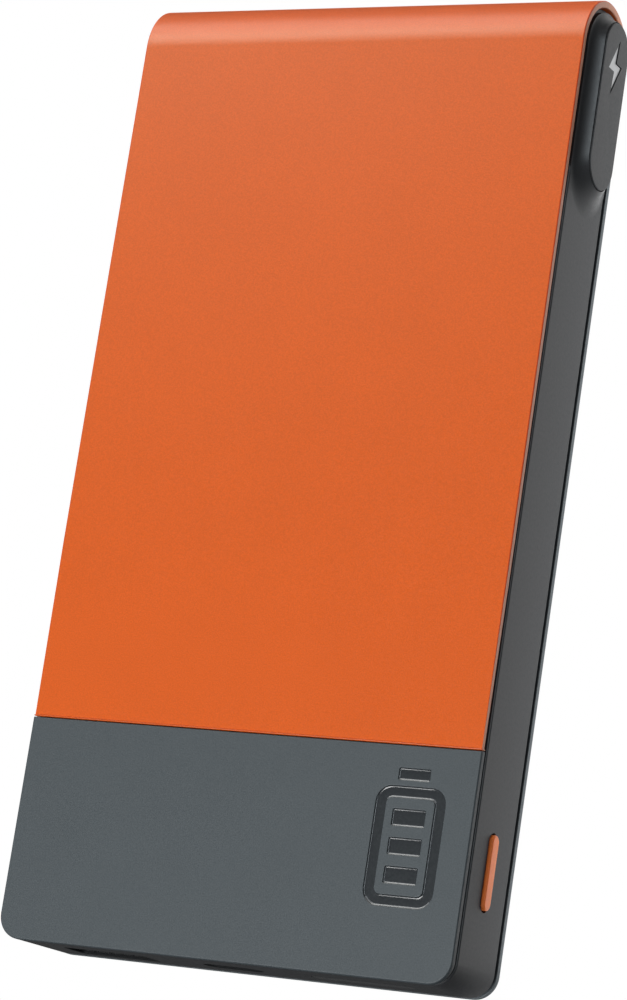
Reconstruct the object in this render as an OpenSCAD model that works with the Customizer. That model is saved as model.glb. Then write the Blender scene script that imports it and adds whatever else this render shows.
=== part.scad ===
// Slim pocket power bank, lying on its back.
// X runs across the width, +Y towards the full-round end, +Z up through the front face.
// The origin is the centre of the back face.

/* [Body] */
// Width across the side faces
body_w = 74; // [72:0.5:80]
// Length from the port end to the crown of the round end
body_l = 147.8; // [146:0.2:154]
// Thickness from the back face to the front face
body_t = 16.6; // [16.4:0.1:17.4]
// Thickness of the metal sleeve and of both covers
skin_t = 1.05; // [0.9:0.05:1.1]
// Radius of the two corners at the port end, seen from the front
corner_r = 3.6; // [3:0.2:5]
// Distance from the port end to the joint between front panel and sleeve
joint_y = 33.3; // [31:0.1:36]
// Width of the joint between two skins
joint_gap = 0.12; // [0.1:0.02:0.2]

/* [Shadow groove] */
// Width of the dark groove between each skin and the side frame
groove_w = 0.7; // [0.5:0.05:0.9]
// Depth of the groove, in from the side face
groove_d = 0.8; // [0.6:0.1:1]

/* [Boss] */
// Height of the oval boss above the side face
boss_h = 1.9; // [1.2:0.1:2.4]
// Radius of the ends of the boss's flat top
boss_r = 4.45; // [3.8:0.05:4.6]
// Length of the boss's flat top
boss_l = 26; // [22:1:28]
// Distance from the port end to the middle of the boss
boss_y = 131.7; // [130:0.1:133]
// How far the cove reaches past the flat top, towards the port end
cove_tail = 4.2; // [3:0.2:6]

/* [Button] */
// Length of the button
button_l = 10.8; // [8:0.2:12]
// Height of the button
button_h = 2.2; // [2:0.1:3.2]
// How far the button stands out of the side face
button_out = 0.5; // [0.45:0.05:0.8]
// Press travel of the button
button_travel = 0.4; // [0.2:0.05:0.45]
// Distance from the port end to the middle of the button
button_y = 17.2; // [15:0.2:18]

/* [Sockets] */
// Sideways place of the USB-A socket
usb_a_x = -21.9; // [-23:0.1:-20]
// Sideways place of the USB-C socket
usb_c_x = -1.4; // [-4:0.1:0]
// Sideways place of the light window
window_x = 19.9; // [18:0.1:20]
// Length of the light window
window_l = 16.75; // [12:0.25:17]
// Height of the light window
window_h = 3.4; // [2.6:0.2:3.6]

/* [Battery] */
// Thickness of one cell
cell_t = 6; // [5:0.1:6]
// Width of one cell
cell_w = 62; // [56:1:63]
// Length of one cell without its sealed end
cell_l = 100.5; // [90:0.5:100.5]

/* [Hidden] */

// Circles with more than 12 sides are true circles
$fn = 96;
// Overshoot that lets a cut run clear of a face
over = 1;

// Main planes
end_y = -body_l / 2;
mid_z = body_t / 2;
front_z = body_t - skin_t;
bend_y = body_l / 2 - mid_z;
rim_depth = skin_t + groove_w;
rim_r = mid_z - rim_depth;
side_x = body_w / 2;

// Adhesive films under the skins
film_t = 0.15;
film_w = 2.6;
film_inset = 1.1;

// Back return of the sleeve, measured from where the bend becomes flat
return_l = 9.5;
return_y = bend_y - return_l;

// Side frame
wall_t = 2.2;
end_wall_t = 1.8;
cavity_x = side_x - wall_t;
web_t = 1.2;
web_z = front_z - film_t - web_t;
flange_w = 3;
end_land = 1;
divider_y = 29;
divider_t = 1.2;
nose_y = bend_y - 0.9;
nose_wall = 1.4;
nose_ribs = 5;

// Electronics bay
port_z = mid_z - 0.1;
board_t = 1.2;
board_top = port_z - 1.6;
board_low = board_top - board_t;
board_x = cavity_x - 1.8;
board_y0 = 2.6;
board_y1 = 28;
screw_x = [-31, 31];
screw_y = [5.2, 25.2];
post_r = 1.9;
pilot_r = 0.75;
screw_r = 0.7;

// Sockets, to the usual sizes of their kinds
socket_fit = 0.15;
socket_set_back = 0.35;
socket_wall = 0.3;
usb_a_w = 13.1;
usb_a_h = 5.7;
usb_a_d = 14;
usb_a_corner = 0.5;
usb_a_tongue_w = 11.1;
usb_a_tongue_t = 1.84;
usb_a_tongue_gap = 0.7;
usb_c_w = 8.94;
usb_c_h = 3.16;
usb_c_d = 7.3;
usb_c_tongue_w = 6.69;
usb_c_tongue_t = 0.7;

// Badge set into the boss
badge_w = 4.4;
badge_l = 8.7;
badge_t = 0.35;
badge_y = 137.8;
badge_fit = 0.04;
badge_proud = 0.02;

// Window and light guide
window_fit = 0.05;
window_lip = 0.6;
led_count = 4;
led_pitch = 3.6;

// Button and its switch
button_gap = 0.3;
button_lip = 0.8;
flange_t = 0.9;
flange_x = cavity_x - 0.05;
button_z = mid_z + 0.4;
switch_x = board_x - 0.2;
switch_w = 2.6;
switch_l = 6;
plunger_l = 2.8;
plunger_h = 1.3;
plunger_fit = 0.05;
plunger_reach = 0.02;
plunger_sunk = 1;
plunger_spare = 0.2;

// Battery stack: foam, cell, tape, cell, foam
tape_t = 0.3;
stack_play = 0.05;
foam_t = (body_t - 2 * skin_t - 2 * cell_t - tape_t) / 2 - stack_play;
cell_y = 36.5;
cell_rear_z = skin_t + stack_play + foam_t;
cell_front_z = cell_rear_z + cell_t + tape_t;
cell_seal_l = 3.4;
cell_seal_t = 1.1;
tab_w = 6;
tab_t = 0.15;
tab_x = 17;

// Temperature sensor and its leads
bead_r = 1;
lead_r = 0.22;
bead_y = cell_y - 1.2;
bead_z = board_top + lead_r + 0.03;

orange = [0.85, 0.36, 0.16];
slate = [0.33, 0.36, 0.38];
graphite = [0.30, 0.31, 0.32];
steel = [0.74, 0.75, 0.77];
black = [0.07, 0.07, 0.08];
gold = [0.83, 0.66, 0.32];

// ---------- Shared outlines ----------

// A 2D outline in Y and Z, made solid along X about the middle plane
module along_x(width) {
  rotate([90, 0, 90]) linear_extrude(width, center = true) children();
}

// A 2D outline in X and Z, made solid towards +Y from a distance above the port end
module from_end(y, depth) {
  translate([0, end_y + y + depth, 0]) rotate([90, 0, 0]) linear_extrude(depth) children();
}

// A 2D outline in Y and Z, made solid from low_x to high_x
module across(low_x, high_x) {
  translate([low_x, 0, 0]) rotate([90, 0, 90]) linear_extrude(high_x - low_x) children();
}

// Side outline of what lies inside a given depth: two flat faces and one full-round end
module side_outline(depth) {
  translate([end_y - over, depth]) square([bend_y - end_y + over, body_t - 2 * depth]);
  translate([bend_y, mid_z]) circle(mid_z - depth);
}

// Front outline, inset all round, with round corners at the port end
module plan_outline(inset) {
  half = side_x - inset;
  r = corner_r - inset;
  low = end_y + inset;
  translate([-half, low + r]) square([2 * half, body_l]);
  translate([-half + r, low]) square([2 * (half - r), 2 * r]);
  for (side = [-1, 1]) translate([side * (half - r), low + r]) circle(r);
}

// A block with the body's front outline and side outline
module body_block(inset, depth) {
  intersection() {
    linear_extrude(body_t) plan_outline(inset);
    along_x(body_w) side_outline(depth);
  }
}

// A slot outline with round ends, its length along the first axis
module slot_outline(length, height) {
  square([length - height, height], center = true);
  for (side = [-1, 1]) translate([side * (length - height) / 2, 0]) circle(d = height);
}

// A rectangle with round corners
module round_rect(w, h, r) {
  square([w - 2 * r, h], center = true);
  square([w, h - 2 * r], center = true);
  for (sx = [-1, 1]) for (sy = [-1, 1])
    translate([sx * (w / 2 - r), sy * (h / 2 - r)]) circle(r);
}

// A lightning bolt that fills a box of w by h
module bolt_outline(w, h) {
  polygon([
    [0.14 * w, 0.5 * h], [-0.5 * w, -0.08 * h], [-0.06 * w, -0.08 * h],
    [-0.14 * w, -0.5 * h], [0.5 * w, 0.08 * h], [0.06 * w, 0.08 * h]
  ]);
}

// ---------- Skins ----------

// Metal sheet: front face, full-round end and a short return on the back
module sleeve() {
  cut_y = end_y + joint_y + joint_gap / 2;
  overlap = 0.01;
  color(orange) along_x(body_w) difference() {
    side_outline(0);
    side_outline(skin_t);
    translate([end_y - 2 * over, mid_z]) square([cut_y - end_y + 2 * over, body_t]);
    translate([end_y - 2 * over, -over]) square([return_y - end_y + 2 * over, mid_z + over + overlap]);
  }
}

// Battery pictogram: an outline, three bars and a terminal, in a box of 11 by 19.8
module pictogram() {
  outer_w = 11;
  outer_l = 17.2;
  stroke = 1.7;
  bar_w = 5.2;
  bar_l = 2.5;
  bar_pitch = 4.1;
  tip_w = 5;
  tip_l = 1.8;
  tip_gap = 0.8;
  translate([0, -(tip_l + tip_gap) / 2]) {
    difference() {
      round_rect(outer_w, outer_l, 2.4);
      round_rect(outer_w - 2 * stroke, outer_l - 2 * stroke, 0.9);
    }
    for (i = [-1:1]) translate([0, i * bar_pitch]) square([bar_w, bar_l], center = true);
    translate([0, outer_l / 2 + tip_gap + tip_l / 2]) square([tip_w, tip_l], center = true);
  }
}

// Moulded cover over the port end of the front, with a sunk pictogram
module front_panel() {
  sign_x = 27.1;
  sign_y = 20.1;
  sign_depth = 0.3;
  color(slate) translate([0, 0, front_z]) difference() {
    linear_extrude(skin_t) intersection() {
      plan_outline(0);
      translate([-body_w, end_y - over]) square([2 * body_w, joint_y - joint_gap / 2 + over]);
    }
    translate([sign_x, end_y + sign_y, skin_t - sign_depth]) linear_extrude(over) pictogram();
  }
}

// Flat cover over the back, up to the sleeve's return
module rear_cover() {
  color(slate) linear_extrude(skin_t) intersection() {
    plan_outline(0);
    translate([-body_w, end_y - over])
      square([2 * body_w, return_y - joint_gap - end_y + over]);
  }
}

// ---------- Side frame ----------

// One outline of the boss between its flat top (s = 0) and the foot of the cove (s = 1)
module boss_level(s, height) {
  top_low = boss_y - boss_l / 2 + boss_r;
  top_high = boss_y + boss_l / 2 - boss_r;
  foot_low = boss_y - boss_l / 2 - cove_tail + rim_r;
  foot_high = bend_y - end_y;
  r = boss_r + (rim_r - boss_r) * s;
  slice = 0.02;
  for (y = [top_low + (foot_low - top_low) * s, top_high + (foot_high - top_high) * s])
    translate([side_x + height - slice, end_y + y, mid_z])
      rotate([0, 90, 0]) cylinder(r = r, h = slice, $fn = 36);
}

// Oval boss on the side face: a flat top with a hollow cove that runs down to the side face
module boss() {
  steps = [0, 0.14, 0.3, 0.5, 0.72, 1];
  for (i = [0 : len(steps) - 2]) hull() {
    boss_level(steps[i], boss_h * pow(1 - steps[i], 2));
    boss_level(steps[i + 1], boss_h * pow(1 - steps[i + 1], 2));
  }
}

// Openings in the port end, with the USB openings a little larger than their shells
module end_openings() {
  translate([usb_a_x, 0, port_z]) from_end(-over, end_wall_t + 2 * over)
    round_rect(usb_a_w + 2 * socket_fit, usb_a_h + 2 * socket_fit, usb_a_corner + socket_fit);
  translate([usb_c_x, 0, port_z]) from_end(-over, end_wall_t + 2 * over)
    slot_outline(usb_c_w + 2 * socket_fit, usb_c_h + 2 * socket_fit);
  translate([window_x, 0, port_z]) from_end(-over, end_wall_t + 2 * over)
    slot_outline(window_l + 2 * window_fit, window_h + 2 * window_fit);
}

// The space inside the frame: the board bay, the battery bay and the hollow of the round end
module frame_cavity() {
  bay_y = end_y + end_wall_t;
  battery_y = end_y + divider_y + divider_t;
  window_w = 2 * (cavity_x - flange_w);
  translate([-cavity_x, bay_y, -over])
    cube([2 * cavity_x, divider_y - end_wall_t, web_z + over]);
  translate([-cavity_x, battery_y, -over])
    cube([2 * cavity_x, nose_y - battery_y, web_z + over]);
  translate([-window_w / 2, battery_y + flange_w, 0])
    cube([window_w, nose_y - battery_y - flange_w - end_land, body_t + over]);
  across(-cavity_x, cavity_x) translate([bend_y, mid_z])
    circle(mid_z - skin_t - film_t - nose_wall);
}

// Posts that the board is screwed to, standing on the front web
module board_posts() {
  sink = 0.2;
  for (x = screw_x) for (y = screw_y)
    translate([x, end_y + y, board_top]) cylinder(r = post_r, h = web_z - board_top + sink);
}

// Blind holes for the board screws
module pilot_holes() {
  pilot_d = 5;
  for (x = screw_x) for (y = screw_y)
    translate([x, end_y + y, board_top - over]) cylinder(r = pilot_r, h = pilot_d + over);
}

// Ribs across the hollow of the round end
module end_ribs() {
  rib_t = 1;
  rib_y = bend_y + 0.8;
  pitch = 2 * cavity_x / (nose_ribs + 1);
  for (i = [1 : nose_ribs]) {
    x = -cavity_x + i * pitch;
    across(x - rib_t / 2, x + rib_t / 2) intersection() {
      side_outline(skin_t + film_t + nose_wall / 2);
      translate([rib_y, 0]) square([mid_z, body_t]);
    }
  }
}

// Moulded frame between the skins: side walls, port end, round end and boss in one piece
module chassis() {
  notch_w = tab_w + 3;
  notch_top = cell_front_z - cell_t / 2 + 2.4;
  color(graphite) difference() {
    union() {
      difference() {
        union() {
          body_block(0, rim_depth);
          body_block(groove_d, skin_t + film_t);
        }
        frame_cavity();
      }
      board_posts();
      end_ribs();
      boss();
    }
    end_openings();
    pilot_holes();
    badge_recess();
    across(cavity_x - over, side_x + over)
      translate([end_y + button_y, button_z])
        slot_outline(button_l + 2 * button_gap, button_h + 2 * button_gap);
    for (x = [-tab_x, 0, tab_x])
      translate([x - notch_w / 2, end_y + divider_y - over, -over])
        cube([notch_w, divider_t + 2 * over, notch_top + over]);
  }
}

// Pocket in the boss's flat top that holds the badge
module badge_recess() {
  translate([side_x + boss_h - badge_t, 0, 0]) badge_body(badge_t + over, badge_fit);
}

// A bolt-shaped plate, facing +X
module badge_body(thick, fit) {
  rotate([90, 0, 90]) linear_extrude(thick)
    translate([end_y + badge_y, mid_z]) rotate(90)
      bolt_outline(badge_w + 2 * fit, badge_l + 2 * fit);
}

// Bright charging symbol set into the boss
module boss_badge() {
  color(steel) translate([side_x + boss_h - badge_t + badge_proud, 0, 0]) badge_body(badge_t, 0);
}

// ---------- Button and switch ----------

// Push button with a lip inside the wall that keeps it in
module power_button() {
  color(orange) {
    across(flange_x, side_x + button_out) translate([end_y + button_y, button_z])
      slot_outline(button_l, button_h);
    across(flange_x - flange_t, flange_x) translate([end_y + button_y, button_z])
      slot_outline(button_l + 2 * button_lip, button_h + 2 * button_lip);
  }
}

// Side-acting switch on the board, with a pocket for its plunger
module tact_switch() {
  pocket_d = plunger_sunk + button_travel + plunger_spare;
  switch_h = 2 * (button_z - board_top);
  color(black) difference() {
    translate([switch_x - switch_w, end_y + button_y - switch_l / 2, board_top])
      cube([switch_w, switch_l, switch_h]);
    translate([switch_x - pocket_d, end_y + button_y - plunger_l / 2 - plunger_fit,
        button_z - plunger_h / 2 - plunger_fit])
      cube([pocket_d + over, plunger_l + 2 * plunger_fit, plunger_h + 2 * plunger_fit]);
  }
}

// Plunger that the button pushes into the switch
module switch_plunger() {
  foot = switch_x - plunger_sunk;
  tip = flange_x - flange_t - plunger_reach;
  color(steel) translate([foot, end_y + button_y - plunger_l / 2, button_z - plunger_h / 2])
    cube([tip - foot, plunger_l, plunger_h]);
}

// ---------- Light window ----------

// Smoked window flush with the port end, with a lip inside the wall
module led_window() {
  color([0.16, 0.17, 0.18]) {
    translate([window_x, 0, port_z]) from_end(0, end_wall_t + window_lip)
      slot_outline(window_l, window_h);
    translate([window_x, 0, port_z]) from_end(end_wall_t + window_fit, window_lip)
      slot_outline(window_l + 2 * window_lip, window_h + 2 * window_lip);
  }
}

// Clear block that carries the light of each lamp to the window
module light_guide() {
  head_y = end_wall_t + window_lip + window_fit;
  head_t = 1;
  head_w = window_l - 1.4;
  head_h = window_h - 0.6;
  leg_l = 1.4;
  leg_w = 2;
  leg_h = 1.3;
  color([0.86, 0.88, 0.9]) {
    translate([window_x, 0, port_z]) from_end(head_y, head_t)
      square([head_w, head_h], center = true);
    for (i = [0 : led_count - 1])
      translate([window_x + (i - (led_count - 1) / 2) * led_pitch - leg_w / 2,
          end_y + head_y + head_t, board_top + 0.05])
        cube([leg_w, leg_l, leg_h]);
  }
}

// Row of side-firing lamps on the board
module indicator_leds() {
  lamp_y = end_wall_t + window_lip + 2.6;
  lamp = [1.6, 1.1, 0.7];
  color([0.93, 0.9, 0.78]) for (i = [0 : led_count - 1])
    translate([window_x + (i - (led_count - 1) / 2) * led_pitch - lamp.x / 2,
        end_y + lamp_y, board_top])
      cube(lamp);
}

// ---------- USB-A socket ----------

// Folded metal shell, open at the front
module usb_a_shell() {
  back_t = 0.5;
  inner_corner = 0.25;
  color(steel) translate([usb_a_x, 0, port_z]) difference() {
    from_end(socket_set_back, usb_a_d) round_rect(usb_a_w, usb_a_h, usb_a_corner);
    from_end(socket_set_back - over, usb_a_d + over - back_t)
      round_rect(usb_a_w - 2 * socket_wall, usb_a_h - 2 * socket_wall, inner_corner);
  }
}

// Height of the middle of the USB-A tongue
function usb_a_tongue_z() =
  port_z + usb_a_h / 2 - socket_wall - usb_a_tongue_gap - usb_a_tongue_t / 2;

// Plastic tongue on a base block at the back of the shell
module usb_a_tongue() {
  base_d = 4;
  base_w = usb_a_w - 2 * socket_wall - 0.6;
  base_h = usb_a_h - 2 * socket_wall - 0.04;
  reach = 1;
  base_y = socket_set_back + usb_a_d - 0.52 - base_d;
  color([0.1, 0.11, 0.12]) {
    translate([usb_a_x, 0, usb_a_tongue_z()]) from_end(socket_set_back + reach, base_y - reach)
      square([usb_a_tongue_w, usb_a_tongue_t], center = true);
    translate([usb_a_x, 0, port_z]) from_end(base_y, base_d)
      square([base_w, base_h], center = true);
  }
}

// Four contact strips under the tongue
module usb_a_contacts() {
  strip_t = 0.15;
  strip_l = 6.5;
  strip_w = 1.1;
  under = usb_a_tongue_z() - usb_a_tongue_t / 2 - strip_t / 2;
  color(gold) for (x = [-3.5, -1, 1, 3.5])
    translate([usb_a_x + x, 0, under]) from_end(socket_set_back + 1.8, strip_l)
      square([strip_w, strip_t], center = true);
}

// ---------- USB-C socket ----------

// Seamless oval shell, open at the front
module usb_c_shell() {
  back_t = 0.4;
  color(steel) translate([usb_c_x, 0, port_z]) difference() {
    from_end(socket_set_back, usb_c_d) slot_outline(usb_c_w, usb_c_h);
    from_end(socket_set_back - over, usb_c_d + over - back_t)
      slot_outline(usb_c_w - 2 * socket_wall, usb_c_h - 2 * socket_wall);
  }
}

// Thin tongue with a thick base at the back of the shell
module usb_c_tongue() {
  base_d = 1.6;
  base_fit = 0.04;
  reach = 0.6;
  base_y = socket_set_back + usb_c_d - 0.42 - base_d;
  color([0.1, 0.11, 0.12]) translate([usb_c_x, 0, port_z]) {
    from_end(socket_set_back + reach, base_y - reach)
      square([usb_c_tongue_w, usb_c_tongue_t], center = true);
    from_end(base_y, base_d)
      slot_outline(usb_c_w - 2 * socket_wall - base_fit, usb_c_h - 2 * socket_wall - base_fit);
  }
}

// Twelve contact strips on each side of the tongue
module usb_c_contacts() {
  strip_t = 0.04;
  strip_l = 3.6;
  strip_w = 0.26;
  pitch = 0.5;
  count = 12;
  color(gold) for (side = [-1, 1]) for (i = [0 : count - 1])
    translate([usb_c_x + (i - (count - 1) / 2) * pitch, 0,
        port_z + side * (usb_c_tongue_t + strip_t) / 2])
      from_end(socket_set_back + 1, strip_l) square([strip_w, strip_t], center = true);
}

// ---------- Circuit board ----------

// A block that stands on the board's upper face, placed from the port end
module on_board(x, y, w, l, h) {
  translate([x - w / 2, end_y + y - l / 2, board_top]) cube([w, l, h]);
}

// A block that hangs from the board's lower face
module under_board(x, y, w, l, h) {
  translate([x - w / 2, end_y + y - l / 2, board_low - h]) cube([w, l, h]);
}

// Board with cut-outs for the two sunk sockets and holes for its screws
module circuit_board() {
  hole_r = 0.95;
  room = 0.2;
  color([0.08, 0.3, 0.2]) difference() {
    translate([-board_x, end_y + board_y0, board_low])
      cube([2 * board_x, board_y1 - board_y0, board_t]);
    translate([usb_a_x - usb_a_w / 2 - room, end_y, board_low - over])
      cube([usb_a_w + 2 * room, socket_set_back + usb_a_d + room, board_t + 2 * over]);
    translate([usb_c_x - usb_c_w / 2 - room, end_y, board_low - over])
      cube([usb_c_w + 2 * room, socket_set_back + usb_c_d + room, board_t + 2 * over]);
    for (x = screw_x) for (y = screw_y)
      translate([x, end_y + y, board_low - over]) cylinder(r = hole_r, h = board_t + 2 * over);
  }
}

// Self-tapping screws that hold the board to its posts
module board_screws() {
  head_r = 1.5;
  head_h = 0.9;
  shaft_l = 5.5;
  cross_l = 1.6;
  cross_w = 0.35;
  cross_d = 0.5;
  color(steel) for (x = screw_x) for (y = screw_y) translate([x, end_y + y, board_low]) {
    difference() {
      translate([0, 0, -head_h]) cylinder(r = head_r, h = head_h);
      for (turn = [0, 90]) rotate(turn)
        translate([-cross_l / 2, -cross_w / 2, -head_h - over]) cube([cross_l, cross_w, cross_d + over]);
    }
    cylinder(r = screw_r, h = shaft_l);
  }
}

// Power inductor: square core with cut corners
module power_inductor() {
  size = 9.6;
  cut = 1.4;
  height = 4;
  low = size / 2 - cut;
  color([0.2, 0.2, 0.21]) translate([9.5, end_y + 20.4, board_top]) linear_extrude(height)
    polygon([
      [-low, -size / 2], [low, -size / 2], [size / 2, -low], [size / 2, low],
      [low, size / 2], [-low, size / 2], [-size / 2, low], [-size / 2, -low]
    ]);
}

// Charge and boost controller
module controller_chip() {
  color(black) on_board(-3, 20, 5, 5, 0.9);
}

// Four power transistors on the lower face
module power_transistors() {
  color(black) for (i = [0:3]) under_board(-6 + i * 5, 19, 3.3, 3.3, 0.9);
}

// Polymer capacitors beside the inductor
module bulk_capacitors() {
  color([0.72, 0.55, 0.25]) for (y = [12.4, 17, 21.6]) on_board(20.5, y, 7.3, 4.2, 1.9);
}

// Small ceramic capacitors and resistors
module chip_passives() {
  color([0.66, 0.58, 0.46]) {
    for (i = [0:4]) on_board(-7 + i * 2, 25.4, 1, 1.8, 0.8);
    for (i = [0:3]) on_board(-7.6, 13 + i * 2.6, 1.8, 1, 0.8);
    for (i = [0:3]) under_board(20 + i * 2.2, 12, 1, 1.8, 0.7);
  }
}

// Insulating sheet stuck to the rear cover under the board
module insulation_sheet() {
  sheet_t = 0.2;
  sheet_r = 2;
  margin = 2.6;
  lift = 0.02;
  color([0.75, 0.7, 0.6]) translate([0, end_y + (board_y0 + board_y1) / 2, skin_t + lift])
    linear_extrude(sheet_t)
      round_rect(2 * board_x - margin, board_y1 - board_y0 - margin, sheet_r);
}

// ---------- Battery ----------

// Pouch cell: a block with rolled sides, side flaps and a thin sealed end
module pouch_cell(low) {
  edge_r = 1.4;
  flap_t = 0.5;
  flap_h = 3.6;
  flap_l = cell_l - 4;
  seal_w = cell_w - 4;
  color([0.78, 0.79, 0.8]) {
    translate([0, end_y + cell_y + cell_l, low + cell_t / 2]) rotate([90, 0, 0])
      linear_extrude(cell_l) round_rect(cell_w, cell_t, edge_r);
    for (side = [-1, 1])
      translate([side * (cell_w / 2 + flap_t / 2) - flap_t / 2,
          end_y + cell_y + (cell_l - flap_l) / 2, low + (cell_t - flap_h) / 2])
        cube([flap_t, flap_l, flap_h]);
    translate([-seal_w / 2, end_y + cell_y - cell_seal_l, low + (cell_t - cell_seal_t) / 2])
      cube([seal_w, cell_seal_l, cell_seal_t]);
  }
}

// Cell nearest the front
module cell_front() {
  pouch_cell(cell_front_z);
}

// Cell nearest the back
module cell_rear() {
  pouch_cell(cell_rear_z);
}

// Double-sided tape between the two cells
module cell_tape() {
  tape_w = 40;
  margin = 6;
  color([0.9, 0.9, 0.86])
    translate([-tape_w / 2, end_y + cell_y + margin, cell_rear_z + cell_t])
      cube([tape_w, cell_l - 2 * margin, tape_t]);
}

// Foam sheet over the middle of a cell
module foam_pad(low) {
  pad_w = 48;
  pad_l = 84;
  pad_r = 3;
  color([0.2, 0.2, 0.2]) translate([0, end_y + cell_y + cell_l / 2, low])
    linear_extrude(foam_t) round_rect(pad_w, pad_l, pad_r);
}

// Foam between the front cell and the sleeve
module foam_pad_front() {
  foam_pad(cell_front_z + cell_t);
}

// Foam between the rear cell and the rear cover
module foam_pad_rear() {
  foam_pad(skin_t + stack_play);
}

// Nickel strips from the cells to the board
module battery_tabs() {
  board_lap = 3;
  end_of_seal = cell_y - cell_seal_l;
  strip_y = board_y1 - board_lap;
  step_gap = 0.9;
  step_y = divider_y + divider_t + step_gap;
  color(steel) for (side = [-1, 1]) for (low = [cell_rear_z, cell_front_z]) {
    seal_z = low + cell_t / 2;
    is_front = low == cell_front_z;
    land_z = is_front ? board_top : board_low - tab_t;
    x = side * tab_x - tab_w / 2;
    // along the board and through the notch in the divider
    translate([x, end_y + strip_y, land_z]) cube([tab_w, step_y - strip_y, tab_t]);
    // up or down to the height of the cell's seal
    translate([x, end_y + step_y - tab_t, min(land_z, seal_z - tab_t)])
      cube([tab_w, tab_t, abs(seal_z - tab_t - land_z) + tab_t]);
    // on to the seal
    translate([x, end_y + step_y - tab_t, seal_z - tab_t])
      cube([tab_w, end_of_seal - step_y + tab_t, tab_t]);
  }
}

// Temperature sensor over the step of the rear cell's sealed end
module thermistor_bead() {
  color(black) translate([0, end_y + bead_y, bead_z]) sphere(r = bead_r, $fn = 48);
}

// Two leads from the sensor to the board
module thermistor_leads() {
  lap = 1.2;
  low_y = board_y1 - lap;
  color([0.8, 0.1, 0.1]) for (side = [-1, 1])
    translate([side * bead_r / 2, end_y + low_y, bead_z])
      rotate([-90, 0, 0]) cylinder(r = lead_r, h = bead_y - low_y - bead_r);
}

// ---------- Adhesive films ----------

// Ring of film inside the body outline, up to a given distance from the port end
module film_ring(high_y) {
  difference() {
    intersection() {
      plan_outline(film_inset);
      translate([-body_w, end_y]) square([2 * body_w, high_y]);
    }
    translate([-side_x + film_inset + film_w, end_y + film_inset + film_w])
      square([body_w - 2 * (film_inset + film_w), high_y - film_inset - 2 * film_w]);
  }
}

// Film between the frame and the two front skins
module front_adhesive() {
  color(black) translate([0, 0, front_z - film_t]) linear_extrude(film_t)
    film_ring(bend_y - end_y);
}

// Film between the frame and the rear cover
module rear_adhesive() {
  opening_x = cavity_x - 0.2;
  color(black) translate([0, 0, skin_t]) linear_extrude(film_t) difference() {
    film_ring(return_y - joint_gap - end_y);
    translate([-opening_x, end_y + end_wall_t])
      square([2 * opening_x, return_y - end_y - end_wall_t + over]);
  }
}

sleeve();
front_panel();
rear_cover();
chassis();
boss_badge();
power_button();
tact_switch();
switch_plunger();
led_window();
light_guide();
indicator_leds();
usb_a_shell();
usb_a_tongue();
usb_a_contacts();
usb_c_shell();
usb_c_tongue();
usb_c_contacts();
circuit_board();
board_screws();
power_inductor();
controller_chip();
power_transistors();
bulk_capacitors();
chip_passives();
insulation_sheet();
cell_front();
cell_rear();
cell_tape();
foam_pad_front();
foam_pad_rear();
battery_tabs();
thermistor_bead();
thermistor_leads();
front_adhesive();
rear_adhesive();
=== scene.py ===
import math

import bmesh
import bpy
from mathutils import Matrix, Vector
from mathutils.geometry import tessellate_polygon


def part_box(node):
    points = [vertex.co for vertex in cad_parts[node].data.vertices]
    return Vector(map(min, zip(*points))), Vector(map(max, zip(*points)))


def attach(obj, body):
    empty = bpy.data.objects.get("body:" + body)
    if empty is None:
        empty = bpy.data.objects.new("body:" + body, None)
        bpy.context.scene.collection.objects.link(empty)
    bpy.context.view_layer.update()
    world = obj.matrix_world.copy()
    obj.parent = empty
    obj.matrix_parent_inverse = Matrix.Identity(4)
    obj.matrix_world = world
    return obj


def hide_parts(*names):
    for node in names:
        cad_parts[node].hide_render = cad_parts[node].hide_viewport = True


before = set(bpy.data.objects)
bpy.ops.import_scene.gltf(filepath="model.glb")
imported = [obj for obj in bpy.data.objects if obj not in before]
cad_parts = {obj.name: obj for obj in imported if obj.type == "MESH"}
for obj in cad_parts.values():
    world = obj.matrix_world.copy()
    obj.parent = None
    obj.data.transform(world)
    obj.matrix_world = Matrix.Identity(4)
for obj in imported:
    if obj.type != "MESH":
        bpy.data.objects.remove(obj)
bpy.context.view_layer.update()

# ---------------------------------------------------------------- sizes, in metres

MM = 0.001
sleeve_low, sleeve_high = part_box("sleeve")
panel_low, panel_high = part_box("front_panel")
cover_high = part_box("rear_cover")[1]
chassis_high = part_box("chassis")[1]
button_low, button_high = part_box("power_button")
window_low, window_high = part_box("led_window")
badge_low, badge_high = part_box("boss_badge")
socket_a_low, socket_a_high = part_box("usb_a_shell")
socket_c_low, socket_c_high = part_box("usb_c_shell")

SIDE_X = sleeve_high.x
CROWN_Y = sleeve_high.y
END_Y = panel_low.y
FRONT_Z = sleeve_high.z
MID_Z = FRONT_Z / 2
BEND_Y = CROWN_Y - MID_Z
SKIN_T = panel_high.z - panel_low.z
JOINT_GAP = sleeve_low.y - panel_high.y
RETURN_Y = cover_high.y + JOINT_GAP
BOSS_H = chassis_high.x - SIDE_X

CORNER_R = 3.6 * MM
GROOVE_W = 0.7 * MM
GROOVE_D = 0.8 * MM
FILM_T = 0.15 * MM
RIM_DEPTH = SKIN_T + GROOVE_W
RIM_R = MID_Z - RIM_DEPTH

BOSS_R = 4.45 * MM
BOSS_L = 26 * MM
BOSS_Y = END_Y + 131.7 * MM
COVE_TAIL = 4.2 * MM

SKIN_EDGE_R = 0.16 * MM
FRAME_EDGE_R = 0.3 * MM

BADGE_GAP = 0.06 * MM
SLOT_FIT = 0.15 * MM
SOCKET_A_R = 0.5 * MM
BADGE_SUNK = 0.16 * MM
SIGN_X = 27.1 * MM
SIGN_E = 20.1 * MM

TINY = 0.001 * MM
BAR_STEPS = 4


# ---------------------------------------------------------------- outlines

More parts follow.
